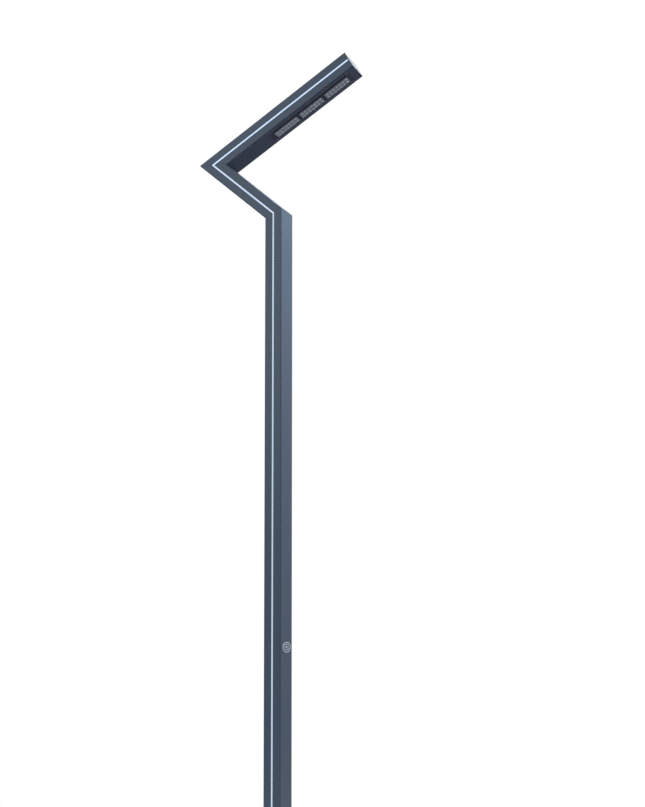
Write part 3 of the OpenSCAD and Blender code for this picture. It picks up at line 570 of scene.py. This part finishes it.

# ---- Head tray and light modules ----
# A coated plate closes the head's underside, in a darker, purpler slate that paints in the shade
# under the head, and an anodised cap its tip. Three lens plates are screwed on in a row: moulded
# clear acrylic with two rows of lobed domes over a white board of emitters, with finned heat sinks of
# bare aluminium behind. Their colour paints shade between the domes and a highlight on each dome.

# Painted shade: the tray wears the slate coat in a darker tone for the shade under the head.
shaded_tray_coat = coat_material("shaded_coat_tray", apex, head_lean, (0.062, 0.060, 0.100, 1), edges=False)
dress(shaded_tray_coat, "module_tray")
dress(metal_material("anodised_cap", (0.15, 0.16, 0.18, 1), 0.56, (60, 900, 60)), "end_cap")
dress(mill_aluminium, "module_heatsink_1", "module_heatsink_2", "module_heatsink_3")

across_head = Vector((0, 1, 0))
along_head = Vector((sin(head_lean), 0, cos(head_lean)))
out_head = Vector((cos(head_lean), 0, -sin(head_lean)))
lens_long = 0.168
lens_wide = 0.075
lens_thick = 0.003
lens_corner = 0.005
lens_cell = 0.0009
lens_seat = half_w + 0.001
dome_rise = 0.003
dome_rows = 2
dome_columns = 7
dome_field_long = 0.150
dome_field_cross = 0.057
dome_room_long = dome_field_long / dome_columns
dome_room_cross = dome_field_cross / dome_rows
field_gleam = 0.47
dome_radius = 0.44 * min(dome_room_long, dome_room_cross)


def rounded_plate(
    name, centre, across, along, out, half_x, half_y, corner, cell, relief, body, material
):
    """A closed plate standing on the plane through centre. A square grid is pressed into a rounded
    rectangle by pulling each corner's square onto a quarter disc. relief(x, y, inset) gives the height
    of its face and a colour value there, and inset is the distance from its edge. The outermost ring
    of points is its foot. The colour value goes into the mesh as the attribute "clear"; on the lens
    plates it is dark over the gasket, painted shade between the domes and a painted highlight on each
    dome."""
    near_edge = np.array([0, 0, 0.0002, 0.0005, 0.001, 0.0017])

    def stations(half):
        middle = np.linspace(-half + 0.0026, half - 0.0026, int(2 * half / cell))
        return np.concatenate([-half + near_edge, middle, half - near_edge[::-1]])

    x, y = np.meshgrid(stations(half_x), stations(half_y), indexing="ij")
    past_x = np.maximum(np.abs(x) - (half_x - corner), 0)
    past_y = np.maximum(np.abs(y) - (half_y - corner), 0)
    longest = np.maximum(past_x, past_y)
    pull = np.where((past_x > 0) & (past_y > 0), longest / np.maximum(np.hypot(past_x, past_y), 1e-9), 1.0)
    inset = np.minimum(half_x - np.abs(x), half_y - np.abs(y))
    x = np.sign(x) * (np.minimum(np.abs(x), half_x - corner) + past_x * pull)
    y = np.sign(y) * (np.minimum(np.abs(y), half_y - corner) + past_y * pull)
    height, clear = relief(x, y, inset)
    height[[0, -1], :] = 0
    height[:, [0, -1]] = 0
    face = np.array(centre) + x[..., None] * np.array(across) + y[..., None] * np.array(along)
    points = face + height[..., None] * np.array(out)
    ring = np.concatenate([
        np.arange(points.shape[1]),
        np.arange(1, points.shape[0]) * points.shape[1] + points.shape[1] - 1,
        (points.shape[0] - 1) * points.shape[1] + np.arange(points.shape[1] - 2, -1, -1),
        np.arange(points.shape[0] - 2, 0, -1) * points.shape[1],
    ])
    index = np.arange(x.size).reshape(x.shape)
    mesh = bpy.data.meshes.new(name)
    mesh.from_pydata(points.reshape(-1, 3).tolist(), [], grid_faces(index) + [ring.tolist()])
    mesh.attributes.new("clear", "FLOAT", "POINT").data.foreach_set("value", clear.ravel().astype(np.float32))
    return finish_piece(name, mesh, body, material)


def round_over(inset, thick, radius):
    """Height of a plate's face near its edge: a quarter round of that radius up to its full thickness."""
    sunk = radius - np.clip(inset, 0, radius)
    return thick - radius + np.sqrt(np.maximum(radius**2 - sunk**2, 0))


def lens_relief(x, y, inset):
    """A lens plate's face: an edge that is rounded over, a shallow moat inside its rim, and in each
    dome's room a dome with a saddle across its middle, so that it has two lobes, and a raised collar.
    Its colour value is dark over the gasket, a painted shade between the domes and a painted highlight
    at each dome's centre."""
    in_row = (x / dome_room_cross + dome_rows / 2) % 1 - 0.5
    in_column = (y / dome_room_long + dome_columns / 2) % 1 - 0.5
    dx = in_row * dome_room_cross
    dy = in_column * dome_room_long
    inside = (np.abs(x) < dome_field_cross / 2) & (np.abs(y) < dome_field_long / 2)
    away = np.hypot(dx, dy) / dome_radius
    saddle = 1 - 0.30 * np.exp(-((dx / (0.32 * dome_radius)) ** 2))
    dome = dome_rise * np.sqrt(np.maximum(1 - away**2, 0)) * saddle
    collar = 0.0004 * np.exp(-(((away - 1.06) / 0.05) ** 2))
    moat = -0.0005 * np.exp(-(((inset - 0.0072) / 0.0007) ** 2))
    # Painted highlight: the colour value rises from the grey between the domes to pale at each dome's centre.
    dome_highlight = field_gleam + (1 - field_gleam) * np.clip(1.2 - away, 0, 1) ** 0.5
    dark_rim = np.clip((inset - 0.0035) / 0.004, 0.08, 1)
    height = round_over(inset, lens_thick, 0.0008) + moat + np.where(inside, dome + collar, 0)
    return height, np.where(inside, dome_highlight, field_gleam) * dark_rim


def lens_material():
    """Clear moulded acrylic, lightly frosted: black over its gasket, with painted shade between its domes
    and a painted highlight in them."""
    material, tree, shader, place = new_material("lens_acrylic")
    shader.inputs["Transmission Weight"].default_value = 0.2
    shader.inputs["IOR"].default_value = 1.49
    haze = noise(tree, place, 130, 4)
    grit = noise(tree, place, 1900, 3)
    clear = add(tree, "ShaderNodeAttribute", attribute_name="clear").outputs["Fac"]
    # The "clear" attribute sets the colour: dark over the gasket, painted shade between the domes and a
    # painted highlight on them.
    painted_dome_shading = blend(tree, clear, (0.030, 0.034, 0.050, 1), (0.86, 0.97, 1.0, 1))
    colour = blend(tree, ramp(tree, haze, 0.35, 0.7, 0, 0.25), painted_dome_shading, (0.16, 0.18, 0.24, 1))
    rough = calc(tree, "ADD", ramp(tree, haze, 0.3, 0.7, 0.14, 0.34), ramp(tree, grit, 0.4, 0.7, 0, 0.08))
    finish_shader(tree, shader, colour, rough, grit, 0.00002, 0.4)
    return material


lens_acrylic = lens_material()
for number in (1, 2, 3):
    low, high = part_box(f"module_lens_{number}")
    middle = (low + high) / 2
    seat = middle - out_head * (middle - apex).dot(out_head) + out_head * lens_seat
    plate = rounded_plate(
        f"lens_plate_{number}", seat, across_head, along_head, out_head, lens_wide / 2, lens_long / 2,
        lens_corner, lens_cell, lens_relief, "post", lens_acrylic,
    )
    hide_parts(f"module_lens_{number}")


def board_material():
    """White solder mask with copper tracks that show through as paler bands, and fine glass weave."""
    material, tree, shader, place = new_material("module_board")
    along = along_run(tree, place, apex, head_lean)
    parts = add(tree, "ShaderNodeSeparateXYZ", {0: along})
    bands = calc(tree, "PINGPONG", parts.outputs[2], dome_room_long / 2)
    track = ramp(tree, bands, 0.003, 0.0034)
    weave = noise(tree, along, 1200, 2)
    colour = blend(tree, track, (0.80, 0.81, 0.80, 1), (0.70, 0.73, 0.72, 1))
    finish_shader(tree, shader, colour, ramp(tree, weave, 0.3, 0.7, 0.3, 0.42), weave, 0.00002, 0.4)
    return material


def phosphor_material():
    """Silicone dome over yellow phosphor, paler at its grain."""
    material, tree, shader, place = new_material("phosphor")
    shader.inputs["Coat Weight"].default_value = 0.6
    grain = noise(tree, place, 2500, 2)
    colour = blend(tree, ramp(tree, grain, 0.3, 0.7), (0.80, 0.60, 0.12, 1), (0.90, 0.78, 0.35, 1))
    finish_shader(tree, shader, colour, ramp(tree, grain, 0.3, 0.7, 0.18, 0.3), grain, 0.00001, 0.4)
    return material


dress(board_material(), "module_board_1", "module_board_2", "module_board_3")
dress(phosphor_material(), "module_leds_1", "module_leds_2", "module_leds_3")

# ---- Access door ----
# A pressed aluminium leaf over the service opening, on the side away from the head. Its edges are
# rolled and a bead is pressed in round it. Two rolled knuckles hang it on pins welded to the mast.

door_low, door_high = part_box("access_door")
knuckle_low, knuckle_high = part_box("hinge_knuckles")
pin_low, pin_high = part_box("hinge_pins")
leaf_half_h = (door_high.z - door_low.z) / 2
leaf_half_w = 0.056
leaf_t = 0.003
leaf_corner = 0.010
leaf_cell = 0.0012
leaf_back = -half_w - 0.002
pin_x = (pin_low.x + pin_high.x) / 2
pin_y = (pin_low.y + pin_high.y) / 2
barrel_r = door_high.y - pin_y
knuckle_h = 0.018
pin_r = 0.0025
door_coat = coat_material("slate_coat_door", (0, 0, 0), 0, edges=False, reach=0.7)


def leaf_relief(x, y, inset):
    """The leaf's face: rolled edges, and a shallow bead pressed in all round."""
    bead = -0.0010 * np.exp(-(((inset - 0.0125) / 0.0016) ** 2))
    return round_over(inset, leaf_t, 0.0012) + bead, np.ones_like(x)


door_centre = Vector((leaf_back, 0, (door_low.z + door_high.z) / 2))
leaf = rounded_plate(
    "door_leaf", door_centre, Vector((0, -1, 0)), Vector((0, 0, 1)), Vector((-1, 0, 0)),
    leaf_half_w, leaf_half_h, leaf_corner, leaf_cell, leaf_relief, "door", door_coat,
)


def knuckle_points(bottom):
    """A rolled knuckle: a tube round the pin whose ends are softly rounded, as a closed ring of rows."""
    bore = pin_r + 0.00006
    soft = 0.0006
    radii = np.array([bore, barrel_r - soft, barrel_r - 0.3 * soft, barrel_r, barrel_r, barrel_r - 0.3 * soft,
                      barrel_r - soft, bore])
    rises = np.array([0, 0, 0.3 * soft, soft, knuckle_h - soft, knuckle_h - 0.3 * soft, knuckle_h, knuckle_h])
    turn = np.linspace(0, 2 * pi, 32, endpoint=False)
    x = pin_x + radii[:, None] * np.cos(turn)
    y = pin_y + radii[:, None] * np.sin(turn)
    z = np.repeat((bottom + rises)[:, None], len(turn), 1)
    return np.stack([x, y, z], -1)


def web_points(bottom):
    """The strap that runs from the leaf's edge into the knuckle: a bar with a flat oval section."""
    reach = np.linspace(leaf_half_w - 0.004, pin_y - barrel_r + 0.0011, 3)
    turn = np.linspace(0, 2 * pi, 24, endpoint=False)
    half_x, half_z = leaf_t / 2 - 0.0001, knuckle_h / 2 - 0.0001
    x = leaf_back - leaf_t / 2 + half_x * np.sign(np.cos(turn)) * np.abs(np.cos(turn)) ** 0.3
    z = bottom + knuckle_h / 2 + half_z * np.sign(np.sin(turn)) * np.abs(np.sin(turn)) ** 0.3
    taper = np.array([0, 1, 1, 1, 0])[:, None]
    centre_x = leaf_back - leaf_t / 2
    centre_z = bottom + knuckle_h / 2
    return np.stack([
        centre_x + taper * (x - centre_x)[None],
        np.repeat(reach[[0, 0, 1, 2, 2]][:, None], len(turn), 1),
        centre_z + taper * (z - centre_z)[None],
    ], -1)


for number, bottom in enumerate((knuckle_low.z + knuckle_h + 0.0003, knuckle_high.z + 0.0003), 1):
    grid_piece(
        f"door_knuckle_{number}", knuckle_points(bottom), "door", door_coat,
        wrap_rows=True, wrap_columns=True,
    )
    grid_piece(
        f"door_strap_{number}", web_points(bottom), "door", door_coat, wrap_columns=True
    )
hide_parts("access_door")
dress(door_coat, "hinge_knuckles")
dress(stainless, "hinge_pins", "gear_studs", "gear_nuts", "driver_screws", "earth_nut", "badge_pins")

# ---- Lock ----
# A quarter-turn lock of nickel-plated zinc with a triangular key socket. Its finger turns behind the
# mast's wall.

nickel = metal_material("nickel_plate", (0.62, 0.60, 0.56, 1), 0.20, (1100, 1100, 1100))
dress(nickel, "lock_housing", "lock_cam", "lock_nut")

# ---- Gear ----
# Inside the mast: a galvanised plate on studs, two drivers in grey cases, and a rail that carries the
# breaker, the surge protector and the terminals.


def galvanised_material():
    """Hot-dip zinc: large pale and dark spangles with soft borders."""
    material, tree, shader, place = new_material("galvanised", 0.85)
    cells = add(tree, "ShaderNodeTexVoronoi", {"Vector": place, "Scale": 110}).outputs["Color"]
    shade = add(tree, "ShaderNodeSeparateXYZ", {0: cells}).outputs[0]
    fine = noise(tree, place, 700, 3)
    colour = blend(tree, ramp(tree, shade, 0, 1), (0.50, 0.51, 0.52, 1), (0.68, 0.69, 0.69, 1))
    finish_shader(tree, shader, colour, ramp(tree, shade, 0, 1, 0.34, 0.52), fine, 0.00003, 0.4)
    return material


def moulded_material(name, tone, ribs=0.0):
    """Moulded plastic: a fine spark-eroded texture, scuffs, and upright ribs where ribs is their number
    a metre."""
    material, tree, shader, place = new_material(name)
    spark = noise(tree, place, 1300, 3)
    scuff = noise(tree, place, 1, 4, (40, 40, 140))
    worn = tuple(0.75 * channel + 0.08 for channel in tone[:3]) + (1,)
    colour = blend(tree, ramp(tree, scuff, 0.5, 0.75, 0, 0.5), tone, worn)
    relief = spark
    if ribs:
        rib = calc(tree, "PINGPONG", add(tree, "ShaderNodeSeparateXYZ", {0: place}).outputs[1], 0.5 / ribs)
        relief = calc(tree, "ADD", spark, ramp(tree, rib, 0.1 / ribs, 0.25 / ribs, 0, 12))
    finish_shader(tree, shader, colour, ramp(tree, scuff, 0.3, 0.7, 0.42, 0.58), relief, 0.00003, 0.8)
    return material


dress(galvanised_material(), "gear_plate", "din_rail")
dress(moulded_material("driver_case", (0.60, 0.62, 0.64, 1), 260), "led_driver", "line_driver")
dress(moulded_material("breaker_case", (0.78, 0.78, 0.74, 1)), "breaker_body")
dress(moulded_material("toggle_black", (0.02, 0.02, 0.024, 1)), "breaker_toggle")
dress(moulded_material("surge_red", (0.42, 0.07, 0.04, 1)), "surge_protector")
dress(moulded_material("terminal_grey", (0.25, 0.27, 0.29, 1)), "terminal_block")
dress(metal_material("earth_brass", (0.72, 0.52, 0.22, 1), 0.28, (1200, 1200, 1200)), "earth_stud")

# ---- Medallion ----
# A cast aluminium oval pinned to the mast's side: a bright rim, a dished floor, a raised ring, a ring
# of beads and a domed hub. It bears no mark.

badge_low, badge_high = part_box("badge")
badge_centre = (badge_low + badge_high) / 2
badge_wide = (badge_high.y - badge_low.y) / 2
badge_tall = (badge_high.z - badge_low.z) / 2
badge_t = badge_high.x - badge_low.x
badge_dish = 0.0012
badge_rim = 0.0062
badge_shoulder = 0.0012
badge_edge = 0.0007
badge_beads = 36


def medallion_height(share, turn):
    """Height of the medallion's face at a share of the way out from its centre: its rim, ring and hub
    rise from the floor with soft shoulders, and beads stand between ring and rim."""
    out = share * badge_tall
    rim_shape = np.clip((out - badge_tall + badge_rim) / badge_shoulder, 0, 1)
    ring_shape = np.clip(1.6 - np.abs(out - 0.51 * badge_tall) / badge_shoulder, 0, 1)
    hub_shape = np.sqrt(np.clip(1 - (share / 0.24) ** 2, 0, 1))
    bead_row = np.exp(-(((share - 0.69) / 0.045) ** 2))
    beads = 0.7 * bead_row * np.maximum(np.cos(badge_beads * turn), 0) ** 0.7
    raised = np.maximum(np.maximum(rim_shape, ring_shape), np.maximum(hub_shape, beads))
    past_edge = np.maximum(out - badge_tall + badge_edge, 0) / badge_edge
    edge = np.sqrt(np.clip(1 - past_edge**2, 0, 1))
    return (badge_t - badge_dish + badge_dish * raised) * (0.6 + 0.4 * edge)


def medallion_material():
    """Cast aluminium, bright and finely brushed along its width where it is proud, dark and grained in
    its floor."""
    material, tree, shader, place = new_material("medallion", 0.35)
    rise = add(tree, "ShaderNodeSeparateXYZ", {0: place}).outputs[0]
    grain = add(tree, "ShaderNodeMapping", {"Vector": place, "Scale": (900, 40, 900)}).outputs[0]
    metal = use_group(tree, bare_metal, Grain=grain, Tone=(0.74, 0.79, 0.86, 1), Gloss=0.26)
    proud = ramp(tree, rise, badge_high.x - 0.8 * badge_dish, badge_high.x - 0.3 * badge_dish)
    cast = noise(tree, place, 1400, 3)
    dark = blend(tree, ramp(tree, cast, 0.3, 0.7), (0.15, 0.18, 0.23, 1), (0.22, 0.26, 0.32, 1))
    colour = blend(tree, proud, dark, metal["Color"])
    finish_shader(tree, shader, colour, ramp(tree, cast, 0.3, 0.7, 0.28, 0.44), cast, 0.00002, 0.6)
    return material


shares = np.concatenate([[0], np.linspace(0.02, 0.97, 84), np.linspace(0.976, 1, 8)])
turns = np.linspace(0, 2 * pi, 288, endpoint=False)
share_grid, turn_grid = np.meshgrid(shares, turns, indexing="ij")
face = np.stack([
    badge_low.x + medallion_height(share_grid, turn_grid),
    badge_centre.y + badge_wide * share_grid * np.cos(turn_grid),
    badge_centre.z + badge_tall * share_grid * np.sin(turn_grid),
], -1)
foot = face[-1:].copy()
foot[..., 0] = badge_low.x
back = np.repeat(np.array([[[badge_low.x, badge_centre.y, badge_centre.z]]]), len(turns), 1)
medallion = grid_piece(
    "medallion", np.concatenate([face, foot, back], 0), "post", medallion_material(),
    wrap_columns=True,
)
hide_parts("badge")
